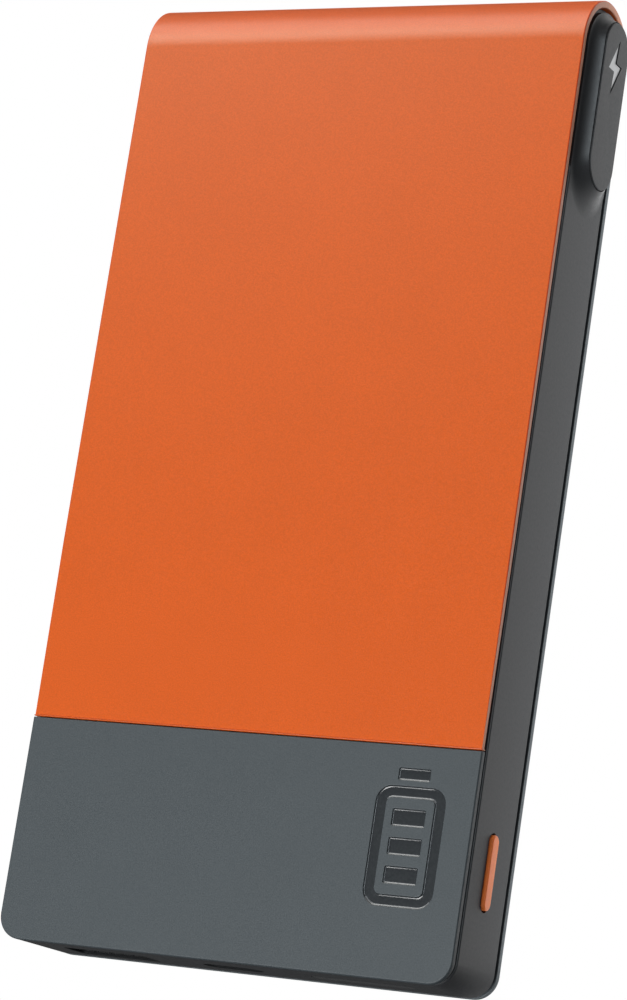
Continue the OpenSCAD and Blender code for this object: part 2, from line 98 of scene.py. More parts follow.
def arc(u, v, r, start, end, steps):
    """Points on an arc about (u, v), from start to end degrees, both ends included."""
    points = []
    for i in range(steps + 1):
        a = math.radians(start + (end - start) * i / steps)
        points.append((u + r * math.cos(a), v + r * math.sin(a)))
    return points


def rounded(u0, v0, u1, v1, radii, steps=8):
    """Outline of a rectangle with its own radius at each corner, from the low corner round."""
    a, b, c, d = [max(r, TINY) for r in radii]
    return (arc(u0 + a, v0 + a, a, 180, 270, steps) + arc(u1 - b, v0 + b, b, 270, 360, steps)
            + arc(u1 - c, v1 - c, c, 0, 90, steps) + arc(u0 + d, v1 - d, d, 90, 180, steps))


def slot(u, v, length, height, steps=20):
    """Outline with round ends, its length along the first axis."""
    r, half = height / 2, (length - height) / 2
    return arc(u + half, v, r, -90, 90, steps) + arc(u - half, v, r, 90, 270, steps)


def plan_outline(inset, high_y, steps=12, top_r=0.12 * MM):
    """Front outline of a skin up to high_y, inset all round."""
    low_r = max(CORNER_R - inset, 0.05 * MM)
    high_r = max(top_r - inset, 0.01 * MM)
    return rounded(-SIDE_X + inset, END_Y + inset, SIDE_X - inset, high_y - inset,
                   (low_r, low_r, high_r, high_r), steps)


def fillet(radius, steps=4):
    """(inset, drop) pairs round a quarter turn, from the wall to the face."""
    pairs = []
    for i in range(steps + 1):
        a = math.radians(90 * i / steps)
        pairs.append((radius * (1 - math.cos(a)), radius * (1 - math.sin(a))))
    return pairs


# ---------------------------------------------------------------- mesh helpers

def new_object(name, bm):
    """Makes a mesh object from a bmesh, with its normals facing out."""
    bmesh.ops.recalc_face_normals(bm, faces=bm.faces[:])
    mesh = bpy.data.meshes.new(name)
    bm.to_mesh(mesh)
    bm.free()
    obj = bpy.data.objects.new(name, mesh)
    bpy.context.scene.collection.objects.link(obj)
    return obj


def add_rings(bm, rings, cap_first=True, cap_last=True, material=None):
    """Skins closed rings of equal length, and closes the ends.

    material(ring, point) gives a face's slot.
    """
    rows = [[bm.verts.new(p) for p in ring] for ring in rings]
    count = len(rows[0])
    for k in range(len(rows) - 1):
        for i in range(count):
            j = (i + 1) % count
            face = bm.faces.new((rows[k][i], rows[k][j], rows[k + 1][j], rows[k + 1][i]))
            face.material_index = material(k, i) if material else 0
    if cap_first:
        bm.faces.new(rows[0])
    if cap_last:
        bm.faces.new(rows[-1])
    return rows


def loft(name, rings, material=None):
    """Object skinned over closed rings, both ends capped."""
    bm = bmesh.new()
    add_rings(bm, rings, material=material)
    return new_object(name, bm)


def fill_between(bm, outer, holes, material=0):
    """Fills a flat face whose boundary is outer, with holes left open. All are lists of bmesh verts."""
    loops = [outer, *holes]
    flat = [v for loop in loops for v in loop]
    for tri in tessellate_polygon([[v.co for v in loop] for loop in loops]):
        try:
            face = bm.faces.new([flat[i] for i in tri])
            face.material_index = material
        except ValueError:
            continue


def evaluated(obj):
    """Applies an object's modifiers to its mesh."""
    bpy.context.view_layer.update()
    graph = bpy.context.evaluated_depsgraph_get()
    mesh = bpy.data.meshes.new_from_object(obj.evaluated_get(graph))
    obj.modifiers.clear()
    obj.data = mesh
    return obj


def combine(obj, tool, operation):
    """Cuts, joins or intersects obj with a tool object, which is then removed."""
    step = obj.modifiers.new(operation.lower(), "BOOLEAN")
    step.operation = operation
    step.solver = "EXACT"
    step.object = tool
    evaluated(obj)
    bpy.data.objects.remove(tool)
    return obj


def bevelled(obj, width, segments=3, angle=40):
    """Rounds the edges that are sharper than angle."""
    step = obj.modifiers.new("bevel", "BEVEL")
    step.width = width
    step.segments = segments
    step.limit_method = "ANGLE"
    step.angle_limit = math.radians(angle)
    step.use_clamp_overlap = False
    return evaluated(obj)


def smooth(obj, angle=35):
    """Smooth shading that keeps edges sharper than angle, with flat faces kept flat."""
    mesh = obj.data
    mesh.polygons.foreach_set("use_smooth", [True] * len(mesh.polygons))
    mesh.set_sharp_from_angle(angle=math.radians(angle))
    step = obj.modifiers.new("weighted", "WEIGHTED_NORMAL")
    step.keep_sharp = True
    step.weight = 50
    return obj


def finish_piece(obj, body, slot_name, materials, *nodes):
    """Gives a piece its materials, hides the CAD nodes that it replaces and puts it under its body;
    slot_name is not used.
    """
    for m in materials:
        obj.data.materials.append(m)
    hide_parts(*nodes)
    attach(obj, body)
    return obj


# ---------------------------------------------------------------- materials

class Paint:
    """A Principled material with its node tree at hand."""

    def __init__(self, name, colour, metallic=0.0, roughness=0.5):
        self.material = bpy.data.materials.new(name)
        self.material.use_nodes = True
        self.nodes = self.material.node_tree.nodes
        self.links = self.material.node_tree.links
        self.shader = self.nodes["Principled BSDF"]
        self.shader.inputs["Base Color"].default_value = (*colour, 1)
        self.shader.inputs["Metallic"].default_value = metallic
        self.shader.inputs["Roughness"].default_value = roughness
        self.where = self.nodes.new("ShaderNodeTexCoord").outputs["Object"]
        self.colour = colour
        self.heights = []

    def noise(self, size, detail=2.0, rough=0.5, stretch=None):
        """Noise with features about size metres across; stretch scales its axes."""
        source = self.where
        if stretch:
            mapping = self.nodes.new("ShaderNodeMapping")
            mapping.inputs["Scale"].default_value = stretch
            self.links.new(self.where, mapping.inputs["Vector"])
            source = mapping.outputs["Vector"]
        node = self.nodes.new("ShaderNodeTexNoise")
        node.inputs["Scale"].default_value = 1 / size
        node.inputs["Detail"].default_value = detail
        node.inputs["Roughness"].default_value = rough
        self.links.new(source, node.inputs["Vector"])
        return node.outputs["Fac"]

    def ramp(self, value, low, high, at=(0.35, 0.65)):
        node = self.nodes.new("ShaderNodeMapRange")
        node.inputs["From Min"].default_value = at[0]
        node.inputs["From Max"].default_value = at[1]
        node.inputs["To Min"].default_value = low
        node.inputs["To Max"].default_value = high
        self.links.new(value, node.inputs["Value"])
        return node.outputs["Result"]

    def combine(self, operation, a, b):
        node = self.nodes.new("ShaderNodeMath")
        node.operation = operation
        self.links.new(a, node.inputs[0])
        self.links.new(b, node.inputs[1])
        return node.outputs["Value"]

    def vary_colour(self, value, darker, lighter, at=(0.3, 0.7)):
        """The base colour times a factor that runs from darker to lighter with value."""
        factor = self.ramp(value, darker, lighter, at)
        node = self.nodes.new("ShaderNodeVectorMath")
        node.operation = "SCALE"
        current = self.shader.inputs["Base Color"]
        if current.links:
            self.links.new(current.links[0].from_socket, node.inputs[0])
        else:
            node.inputs[0].default_value = self.colour
        self.links.new(factor, node.inputs["Scale"])
        self.links.new(node.outputs["Vector"], current)

    def vary_roughness(self, value, low, high, at=(0.3, 0.7)):
        self.links.new(self.ramp(value, low, high, at), self.shader.inputs["Roughness"])

    def bump(self, value, depth, strength=1.0):
        """Adds relief of the given depth in metres."""
        node = self.nodes.new("ShaderNodeBump")
        node.inputs["Strength"].default_value = strength
        node.inputs["Distance"].default_value = depth
        self.links.new(value, node.inputs["Height"])
        normal = self.shader.inputs["Normal"]
        if normal.links:
            self.links.new(normal.links[0].from_socket, node.inputs["Normal"])
        self.links.new(node.outputs["Normal"], normal)


def anodised_orange():
    paint = Paint("anodised_orange", (0.668, 0.106, 0.0095), roughness=0.35)
    grain = paint.noise(0.22 * MM, detail=3)
    paint.vary_colour(grain, 0.91, 1.09)
    paint.vary_colour(paint.noise(12 * MM), 0.985, 1.015)
    paint.vary_roughness(paint.noise(0.5 * MM), 0.31, 0.39)
    paint.bump(grain, 0.014 * MM)
    return paint.material


def orange_rim_painted_shade():
    # A darker, redder, less glossy copy of the sheet colour: painted shade along the outer corners of
    # the sheet's face.
    paint = Paint("orange_rim_painted_shade", (0.60, 0.075, 0.012), roughness=0.45)
    paint.shader.inputs["Specular IOR Level"].default_value = 0.2
    paint.vary_colour(paint.noise(0.3 * MM), 0.9, 1.1)
    paint.vary_roughness(paint.noise(0.5 * MM), 0.4, 0.5)
    return paint.material


def orange_cut():
    paint = Paint("orange_cut", (0.56, 0.22, 0.12), roughness=0.42)
    paint.shader.inputs["Specular IOR Level"].default_value = 0.2
    lines = paint.noise(0.12 * MM, stretch=(1, 0.08, 1))
    paint.vary_colour(lines, 0.88, 1.12)
    paint.vary_roughness(lines, 0.38, 0.5)
    paint.bump(lines, 0.004 * MM)
    return paint.material


def slate(name="slate", colour=(0.0655, 0.0805, 0.0900), painted_light_scale=1.0, shine=0.5):
    # The colour scale paints light or shade: below 1 it makes a darker copy of the slate, above 1 a
    # lighter one.
    paint = Paint(name, tuple(c * painted_light_scale for c in colour), roughness=0.5)
    paint.shader.inputs["Specular IOR Level"].default_value = shine
    grain = paint.noise(0.2 * MM, detail=3)
    paint.vary_colour(grain, 0.84, 1.16)
    paint.vary_colour(paint.noise(9 * MM), 0.985, 1.015)
    paint.vary_roughness(paint.noise(0.4 * MM), 0.44, 0.56)
    paint.bump(grain, 0.018 * MM)
    return paint.material


def sunk_gloss():
    paint = Paint("sunk_gloss", (0.030, 0.035, 0.039), roughness=0.2)
    paint.shader.inputs["Specular IOR Level"].default_value = 0.9
    fine = paint.noise(0.3 * MM)
    paint.vary_colour(fine, 0.92, 1.08)
    paint.vary_roughness(fine, 0.16, 0.25)
    return paint.material


def sign_wall_painted_highlight():
    # A brighter, metallic copy of the sign's wall finish, put only on walls that face the crown: a
    # painted highlight.
    paint = Paint("sign_wall_painted_highlight", (0.20, 0.215, 0.23), metallic=0.4, roughness=0.24)
    fine = paint.noise(0.3 * MM)
    paint.vary_colour(fine, 0.92, 1.08)
    paint.vary_roughness(fine, 0.2, 0.28)
    return paint.material


def socket_black_painted_shade():
    # Near black on the opening walls of the graphite frame: painted shade inside the openings.
    paint = Paint("socket_black_painted_shade", (0.006, 0.007, 0.008), roughness=0.6)
    paint.shader.inputs["Specular IOR Level"].default_value = 0.15
    paint.vary_colour(paint.noise(0.5 * MM), 0.8, 1.2)
    return paint.material


def graphite():
    paint = Paint("graphite", (0.036, 0.038, 0.041), roughness=0.38)
    paint.shader.inputs["Specular IOR Level"].default_value = 0.08
    grain = paint.noise(0.16 * MM, detail=3)
    paint.vary_colour(grain, 0.92, 1.08)
    paint.vary_colour(paint.noise(8 * MM), 0.98, 1.02)
    paint.vary_roughness(paint.noise(0.5 * MM), 0.33, 0.43)
    paint.bump(grain, 0.005 * MM)
    return paint.material


def button_orange():
    paint = Paint("button_orange", (0.95, 0.225, 0.05), roughness=0.36)
    paint.shader.inputs["Specular IOR Level"].default_value = 0.2
    grain = paint.noise(0.2 * MM)
    paint.vary_colour(grain, 0.95, 1.05)
    paint.vary_roughness(paint.noise(0.6 * MM), 0.34, 0.44)
    paint.bump(grain, 0.003 * MM)
    return paint.material


def bright_metal():
    paint = Paint("bright_metal", (0.27, 0.275, 0.28), metallic=0.6, roughness=0.35)
    brush = paint.noise(0.1 * MM, stretch=(1, 0.1, 1))
    paint.vary_colour(brush, 0.93, 1.07)
    paint.vary_roughness(brush, 0.3, 0.42)
    return paint.material


def smoked_window():
    paint = Paint("smoked_window", (0.022, 0.024, 0.027), roughness=0.22)
    paint.shader.inputs["Specular IOR Level"].default_value = 0.1
    paint.vary_roughness(paint.noise(2 * MM), 0.18, 0.26)
    paint.vary_colour(paint.noise(3 * MM), 0.95, 1.05)
    return paint.material


def rolled_steel(name="rolled_steel", shade=1.0):
    # The shade factor scales the steel's colour; below 1 it is painted shade.
    paint = Paint(name, (0.42 * shade, 0.43 * shade, 0.45 * shade), metallic=1.0, roughness=0.28)
    lines = paint.noise(0.08 * MM, stretch=(1, 0.06, 1))
    paint.vary_colour(lines, 0.9, 1.05)
    paint.vary_roughness(lines, 0.2, 0.36)
    return paint.material


def plain(name, colour, metallic=0.0, roughness=0.5, size=0.4 * MM, spread=0.08, relief=0.003 * MM):
    """A small part's finish: fine mottling, uneven gloss and a little relief."""
    paint = Paint(name, colour, metallic, roughness)
    mottle = paint.noise(size, detail=3)
    paint.vary_colour(mottle, 1 - spread, 1 + spread)
    paint.vary_roughness(paint.noise(size * 3), roughness * 0.85, min(1.0, roughness * 1.15))
    paint.bump(mottle, relief)
    return paint.material


# ---------------------------------------------------------------- skins

def sleeve_ring(y, z, normal, inset):
    """Section of the sheet at one place on its path: a flat bar with small round edges."""
    bar = rounded(-SIDE_X + inset, -SKIN_T + inset, SIDE_X - inset, -inset,
                  (max(SKIN_EDGE_R - inset, TINY),) * 4, BAR_STEPS)
    return [Vector((u, y + normal[0] * v, z + normal[1] * v)) for u, v in bar]


def make_sleeve():
    """Orange sheet: front face, full-round end, short return on the back."""
    rings = []
    edges = fillet(SKIN_EDGE_R)
    front_start = sleeve_low.y
    for inset, drop in reversed(edges):
        rings.append(sleeve_ring(front_start + inset, FRONT_Z, (0, 1), drop))
    for share in (0.25, 0.5, 0.75):
        rings.append(sleeve_ring(front_start + (BEND_Y - front_start) * share,
                                 FRONT_Z, (0, 1), 0))
    turns = 64
    for i in range(turns + 1):
        a = math.pi / 2 - math.pi * i / turns
        normal = (math.cos(a), math.sin(a))
        rings.append(sleeve_ring(BEND_Y + MID_Z * normal[0], MID_Z + MID_Z * normal[1],
                                 normal, 0))
    for inset, drop in reversed(edges):
        rings.append(sleeve_ring(RETURN_Y + inset, 0, (0, -1), drop))

    side = BAR_STEPS + 1

    def slot_of(k, i):
        """Sheet colour on the flats, a darker rim on the outer corners as painted shade, cut metal on
        the edges.
        """
        if i in (2 * side - 1, 4 * side - 1):
            return 2
        if i % side == side - 1:
            return 0
        return 1 if 2 * side <= i < 4 * side else 2

    obj = loft("sleeve_sheet", rings, slot_of)
    smooth(obj, 50)
    return finish_piece(obj, "bank", "orange_aluminium",
                        (anodised_orange(), orange_rim_painted_shade(), orange_cut()), "sleeve")


def centred(x, y, w, h, radius, sunk=True):
    return x - w / 2, y - h / 2, x + w / 2, y + h / 2, radius, sunk


def sign_shapes():
    """Rectangles of the battery sign: (u0, v0, u1, v1, corner radius, sunk inside)."""
    tip_w, tip_l, tip_gap = 5 * MM, 1.8 * MM, 0.8 * MM
    x, y = SIGN_X, END_Y + SIGN_E - (tip_l + tip_gap) / 2
    w, h, stroke = 11 * MM, 17.2 * MM, 1.7 * MM
    outer_r, inner_r, bar_r = 2.4 * MM, 0.9 * MM, 0.25 * MM
    bar_w, bar_l, pitch = 5.2 * MM, 2.5 * MM, 4.1 * MM
    shapes = [centred(x, y, w, h, outer_r),
              centred(x, y, w - 2 * stroke, h - 2 * stroke, inner_r, sunk=False)]
    for i in (-1, 0, 1):
        shapes.append(centred(x, y + i * pitch, bar_w, bar_l, bar_r))
    shapes.append(centred(x, y + h / 2 + tip_gap + tip_l / 2, tip_w, tip_l, bar_r))
    return shapes


# (growth, depth) down the wall of a sunk outline, in mm; the first SIGN_RIM strips are the face's rim
SIGN_WALL = ((0.12, 0.0), (0.06, 0.0), (0.025, 0.01), (0.0, 0.04), (-0.025, 0.13), (-0.07, 0.2),
             (-0.15, 0.255), (-0.24, 0.29), (-0.3, 0.3))
SIGN_RIM = 3


def sign_loops(bm, shape, face_z):
    """Wall of one sunk outline, from the face down to the floor; returns its top and floor loops."""
    u0, v0, u1, v1, r, sunk = shape
    rows = []
    for grow, depth in SIGN_WALL:
        g = (grow if sunk else -grow) * MM
        loop = rounded(u0 - g, v0 - g, u1 + g, v1 + g, (max(r + g, 0.02 * MM),) * 4, 8)
        rows.append([bm.verts.new((u, v, face_z - depth * MM)) for u, v in loop])
    count = len(rows[0])
    for k in range(len(rows) - 1):
        for i in range(count):
            j = (i + 1) % count
            face = bm.faces.new((rows[k][i], rows[k][j], rows[k + 1][j], rows[k + 1][i]))
            # Walls facing the crown take slot 3, the brighter metallic copy, as a painted highlight;
            # the other walls take the sunk gloss.
            run = (rows[0][j].co - rows[0][i].co).normalized()
            gets_painted_highlight = run.x > 0.5 if sunk else run.x < -0.5
            face.material_index = 0 if k < SIGN_RIM else (3 if gets_painted_highlight else 1)
    return rows[0], rows[-1]


def make_front_panel():
    """Cover over the port end of the front, with the sign sunk into it."""
    bm = bmesh.new()
    rings = []
    for inset, drop in reversed(fillet(0.1 * MM, 2)):
        loop = plan_outline(inset, panel_high.y)
        rings.append([Vector((u, v, panel_low.z + drop)) for u, v in loop])
    top_edge = fillet(0.22 * MM, 5)
    last_shaded_edge_strip = len(rings) + len(top_edge) - 3
    face_inset = 0.3 * MM
    for inset, drop in [*top_edge, (face_inset, 0)]:
        loop = plan_outline(inset, panel_high.y)
        rings.append([Vector((u, v, FRONT_Z - drop)) for u, v in loop])
    # The side wall and most of the edge roundings take slot 2, a darker, less glossy slate: painted
    # shade along the cover's edges.
    rows = add_rings(bm, rings, cap_last=False,
                     material=lambda k, i: 2 if k <= last_shaded_edge_strip else 0)
    tops, floors = [], []
    for shape in sign_shapes():
        top, floor = sign_loops(bm, shape, FRONT_Z)
        tops.append(top)
        floors.append(floor)
    fill_between(bm, rows[-1], [tops[0], tops[-1]])
    fill_between(bm, tops[1], tops[2:-1])
    fill_between(bm, floors[0], [floors[1]], 1)
    for floor in floors[2:]:
        fill_between(bm, floor, [], 1)
    bmesh.ops.remove_doubles(bm, verts=bm.verts[:], dist=1e-7)
    obj = new_object("front_cover", bm)
    smooth(obj, 40)
    # The third material is the darker, less glossy slate of the edges: painted shade.
    return finish_piece(obj, "bank", "slate_cover",
                        (slate(), sunk_gloss(), slate("slate_edge_painted_shade", painted_light_scale=0.75, shine=0.15),
                         sign_wall_painted_highlight()), "front_panel")


def make_rear_cover():
    """Cover over the back, up to the sleeve's return; its wall takes a lighter, less glossy slate, a
    painted highlight.
    """
    rings = []
    for inset, drop in reversed(fillet(0.2 * MM, 4)):
        loop = plan_outline(inset, cover_high.y)
        rings.append([Vector((u, v, drop)) for u, v in loop])
    wall = len(rings) - 1
    for inset, drop in fillet(0.1 * MM, 2):
        loop = plan_outline(inset, cover_high.y)
        rings.append([Vector((u, v, cover_high.z - drop)) for u, v in loop])
    # Slot 1 on the wall strip is the lighter slate copy: a painted highlight along the cover's edge.
    obj = loft("back_cover", rings, lambda k, i: 1 if k == wall else 0)
    smooth(obj, 40)
    return finish_piece(obj, "bank", "slate_cover",
                        (slate("slate_back"), slate("slate_back_edge_painted_highlight", painted_light_scale=1.1, shine=0.2)),
                        "rear_cover")


# ---------------------------------------------------------------- side frame

def prism_z(name, outline, low, high):
    return loft(name, [[Vector((u, v, z)) for u, v in outline] for z in (low, high)])


def prism_x(name, outline, low, high):
    return loft(name, [[Vector((x, u, v)) for u, v in outline] for x in (low, high)])


def side_outline(depth, low_y, steps=64):
    """Side outline of what lies inside depth: flat faces and one full-round end."""
    return ([(low_y, FRONT_Z - depth), (low_y, depth)]
            + arc(BEND_Y, MID_Z, MID_Z - depth, -90, 90, steps))


def block(name, inset, depth, edge, shrink=0.01 * MM):
    """A body block with round edges, a hair smaller than the CAD one."""
    beyond = CROWN_Y + 5 * MM
    steps = 16
    plan = rounded(-SIDE_X + inset + shrink, END_Y + inset + shrink, SIDE_X - inset - shrink, beyond,
                   (CORNER_R - inset, CORNER_R - inset, TINY, TINY), steps)
    corner = steps + 1
    plan = plan[:2 * corner] + [plan[3 * corner - 1], plan[-1]]
    obj = prism_z(name, plan, -FRONT_Z, 2 * FRONT_Z)
    side = prism_x("side", side_outline(depth + shrink, END_Y - 5 * MM), -2 * SIDE_X, 2 * SIDE_X)
    combine(obj, side, "INTERSECT")
    return bevelled(obj, edge, 4)


def cove_height(s):
    """Share of the boss's height at s, from 0 at the flat top's edge to 1 at the foot."""
    return (1 - s) ** 2


def boss_loop(s, height, grow=0.0, steps=40):
    """Outline of the boss at s between the flat top and the foot of its cove."""
    top_low, top_high = BOSS_Y - BOSS_L / 2 + BOSS_R, BOSS_Y + BOSS_L / 2 - BOSS_R
    foot_low, foot_high = BOSS_Y - BOSS_L / 2 - COVE_TAIL + RIM_R, BEND_Y
    low = top_low + (foot_low - top_low) * s
    high = top_high + (foot_high - top_high) * s
    r = BOSS_R + (RIM_R - BOSS_R) * s + grow
    loop = arc(high, MID_Z, r, -90, 90, steps) + arc(low, MID_Z, r, 90, 270, steps)
    return [Vector((SIDE_X + height, y, z)) for y, z in loop]


def make_boss():
    """Oval boss with a hollow cove and a cap set into its top."""
    lip = 0.22 * MM
    seam = 0.14 * MM
    seam_d = 0.3 * MM
    sunk = 0.9 * MM
    cap_r = 0.12 * MM
    foot_dip = 0.012 * MM
    edge_in, seam_in = 0.05 * MM, 0.07 * MM
    levels = 28
    top = BOSS_H - lip
    rings = [boss_loop(1, -sunk, -edge_in)]
    for i in range(levels + 1):
        s = 1 - i / levels
        rings.append(boss_loop(s, top * cove_height(s) - foot_dip * s))
    rings.append(boss_loop(0, top, -edge_in))
    rings.append(boss_loop(0, top - seam_d, -seam_in))
    rings.append(boss_loop(0, top - seam_d, -seam_in - seam))
    for inset, drop in fillet(cap_r):
        rings.append(boss_loop(0, BOSS_H - drop, -seam_in - seam - inset))
    return loft("boss", rings)


def bolt_outline(y, z, w, h):
    """Lightning bolt of width w and length h, its length along Y."""
    points = ((0.14, 0.5), (-0.5, -0.08), (-0.06, -0.08), (-0.14, -0.5), (0.5, 0.08), (0.06, 0.08))
    return [(y - v * h, z + u * w) for u, v in points]


def middle(low, high, *axes):
    """Middle of a box on the named axes."""
    return [(getattr(low, axis) + getattr(high, axis)) / 2 for axis in axes]


def opening_tool(x, z, length, height, square_r=None):
    """Cutter for an opening in the port end, with a small lead-in at its mouth."""
    lead = 0.18 * MM
    mouth = 0.01 * MM
    turn = 0.07 * MM
    clear = 0.02 * MM
    reach = 3 * MM
    rings = []
    for y, grow in ((-lead, 2 * lead), (mouth, lead), (turn, turn), (lead, clear), (reach, clear)):
        if square_r is None:
            loop = slot(x, z, length + 2 * grow, height + 2 * grow)
        else:
            loop = rounded(x - length / 2 - grow, z - height / 2 - grow,
                           x + length / 2 + grow, z + height / 2 + grow,
                           (square_r + grow,) * 4, 8)
        rings.append([Vector((u, END_Y + y, v)) for u, v in loop])
    # Every cutter face takes slot 1, so the cut walls carry the near-black painted shade.
    return loft("opening", rings, lambda k, i: 1)


def cut_openings(obj):
    """Leads in to both sockets, with near-black walls inside as painted shade."""
    for low, high, square_r in ((socket_a_low, socket_a_high, SOCKET_A_R + SLOT_FIT),
                                (socket_c_low, socket_c_high, None)):
        x, z = middle(low, high, "x", "z")
        combine(obj, opening_tool(x, z, high.x - low.x + 2 * SLOT_FIT,
                                  high.z - low.z + 2 * SLOT_FIT, square_r), "DIFFERENCE")


def make_chassis():
    """The CAD frame with round edges, led-in openings and a smooth boss."""
    obj = bpy.data.objects.new("side_frame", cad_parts["chassis"].data.copy())
    obj.data.materials.clear()
    bpy.context.scene.collection.objects.link(obj)
    bm = bmesh.new()
    bm.from_mesh(obj.data)
    bmesh.ops.remove_doubles(bm, verts=bm.verts[:], dist=1e-6)
    bm.to_mesh(obj.data)
    bm.free()
    envelope = block("rim", 0, RIM_DEPTH, FRAME_EDGE_R)
    combine(envelope, block("core", GROOVE_D, SKIN_T + FILM_T, 0.1 * MM), "UNION")
    combine(obj, envelope, "INTERSECT")
    combine(obj, make_boss(), "UNION")
    y, z = middle(badge_low, badge_high, "y", "z")
    size = (badge_high.z - badge_low.z + 2 * BADGE_GAP, badge_high.y - badge_low.y + 4 * BADGE_GAP)
    recess = prism_x("recess", bolt_outline(y, z, *size), badge_low.x, SIDE_X + BOSS_H + 1 * MM)
    combine(obj, recess, "DIFFERENCE")
    cut_openings(obj)
    smooth(obj, 32)
    return finish_piece(obj, "bank", "graphite_plastic", (graphite(), socket_black_painted_shade()), "chassis")


def make_badge():
    """Bright bolt set into the boss, its face just below the boss's top."""
    y, z = middle(badge_low, badge_high, "y", "z")
    size = (badge_high.z - badge_low.z, badge_high.y - badge_low.y)
    obj = prism_x("charge_badge", bolt_outline(y, z, *size), badge_low.x, badge_high.x - BADGE_SUNK)
    bevelled(obj, 0.05 * MM, 2)
    smooth(obj, 40)
    return finish_piece(obj, "bank", "bright_metal", (bright_metal(),), "boss_badge")


# ---------------------------------------------------------------- button and window

def make_button():
    """Push button: a slot-shaped cap with a round rim, on a flange inside the wall."""
    lip = 0.8 * MM
    flange_t = 0.9 * MM
    y, z = middle(button_low, button_high, "y", "z")
    length = button_high.y - button_low.y - 2 * lip
    height = button_high.z - button_low.z - 2 * lip
    rings = []

    def ring(x, grow):
        loop = slot(y, z, length + 2 * grow, height + 2 * grow, 24)
        rings.append([Vector((x, u, v)) for u, v in loop])

    ring(button_low.x, lip)
    ring(button_low.x + flange_t, lip)
    ring(button_low.x + flange_t, 0)
    for inset, drop in fillet(0.28 * MM, 6):
        ring(button_high.x - drop, -inset)
    obj = loft("push_button", rings)
    smooth(obj, 40)
    return finish_piece(obj, "button", "orange_button", (button_orange(),), "power_button")


def make_window():
    """Dark light window with a lip behind the end wall."""
    x, z = middle(window_low, window_high, "x", "z")
    lip = 0.6 * MM
    lip_t = 0.6 * MM
    length = window_high.x - window_low.x - 2 * lip
    height = window_high.z - window_low.z - 2 * lip
    rings = []
    for inset, drop in reversed(fillet(0.15 * MM, 4)):
        loop = slot(x, z, length - 2 * inset, height - 2 * inset, 24)
        rings.append([Vector((u, window_low.y + drop, v)) for u, v in loop])
    for y, grow in ((window_high.y - lip_t, 0), (window_high.y - lip_t, lip), (window_high.y, lip)):
        loop = slot(x, z, length + 2 * grow, height + 2 * grow, 24)
        rings.append([Vector((u, y, v)) for u, v in loop])
    obj = loft("light_window", rings)
    smooth(obj, 40)
    return finish_piece(obj, "bank", "smoked_window", (smoked_window(),), "led_window")


# ---------------------------------------------------------------- carried-over CAD nodes

def dress(node, material):
    """Gives a carried-over CAD node its material."""
    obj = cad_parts[node]
    obj.data.materials.clear()
    obj.data.materials.append(material)


def dress_inner_nodes():
    steel = rolled_steel()
    black = plain("black_moulding", (0.02, 0.021, 0.023), roughness=0.5)
    gold = plain("contact_gold", (0.8, 0.55, 0.2), 1.0, 0.25, 0.3 * MM)
    foil = plain("cell_foil", (0.55, 0.56, 0.57), 0.9, 0.35, 1.5 * MM, 0.05, 0.02 * MM)
    foam = plain("foam", (0.03, 0.03, 0.032), roughness=0.9, size=0.5 * MM, spread=0.3,
                 relief=0.1 * MM)
    film = plain("film", (0.01, 0.01, 0.011), roughness=0.5)
    # The socket shells take steel darkened to 0.3 of its colour: painted shade, so they read black
    # inside the openings.
    shade_darkened_steel = rolled_steel("socket_steel", 0.3)
    for name in ("usb_a_shell", "usb_c_shell"):
        dress(name, shade_darkened_steel)
    dress("board_screws", steel)
    for name in ("usb_a_tongue", "usb_c_tongue", "tact_switch", "controller_chip",
                 "power_transistors", "thermistor_bead", "switch_plunger"):
        dress(name, black)
    for name in ("usb_a_contacts", "usb_c_contacts"):
        dress(name, gold)
    for name in ("cell_front", "cell_rear"):
        dress(name, foil)
    for name in ("foam_pad_front", "foam_pad_rear"):
        dress(name, foam)
    for name in ("front_adhesive", "rear_adhesive"):
        dress(name, film)
    dress("battery_tabs", plain("nickel", (0.55, 0.53, 0.5), 1.0, 0.35))
    dress("cell_tape", plain("tape", (0.7, 0.7, 0.65), roughness=0.6))
    dress("insulation_sheet", plain("fish_paper", (0.5, 0.46, 0.36), roughness=0.7, spread=0.12))
    dress("circuit_board", plain("solder_mask", (0.012, 0.1, 0.045), roughness=0.3, size=1 * MM))
    dress("power_inductor", plain("ferrite", (0.05, 0.05, 0.052), roughness=0.7))
    dress("bulk_capacitors", plain("capacitor_case", (0.5, 0.3, 0.08), roughness=0.5))
    dress("chip_passives", plain("chip_ceramic", (0.36, 0.28, 0.18), roughness=0.5))
    dress("light_guide", plain("clear_moulding", (0.75, 0.77, 0.8), roughness=0.2))
    dress("indicator_leds", plain("lamp_body", (0.85, 0.82, 0.7), roughness=0.3))
    dress("thermistor_leads", plain("lead_red", (0.5, 0.03, 0.03), roughness=0.4))


# ---------------------------------------------------------------- stage, lights and camera

SIDE_GLOW = 1.87
CROWN_GLOW = 0.15
END_SHARE = 0.88
CROWN_SHARE = 1.15
FLOOR_DROP = 0.1 * MM


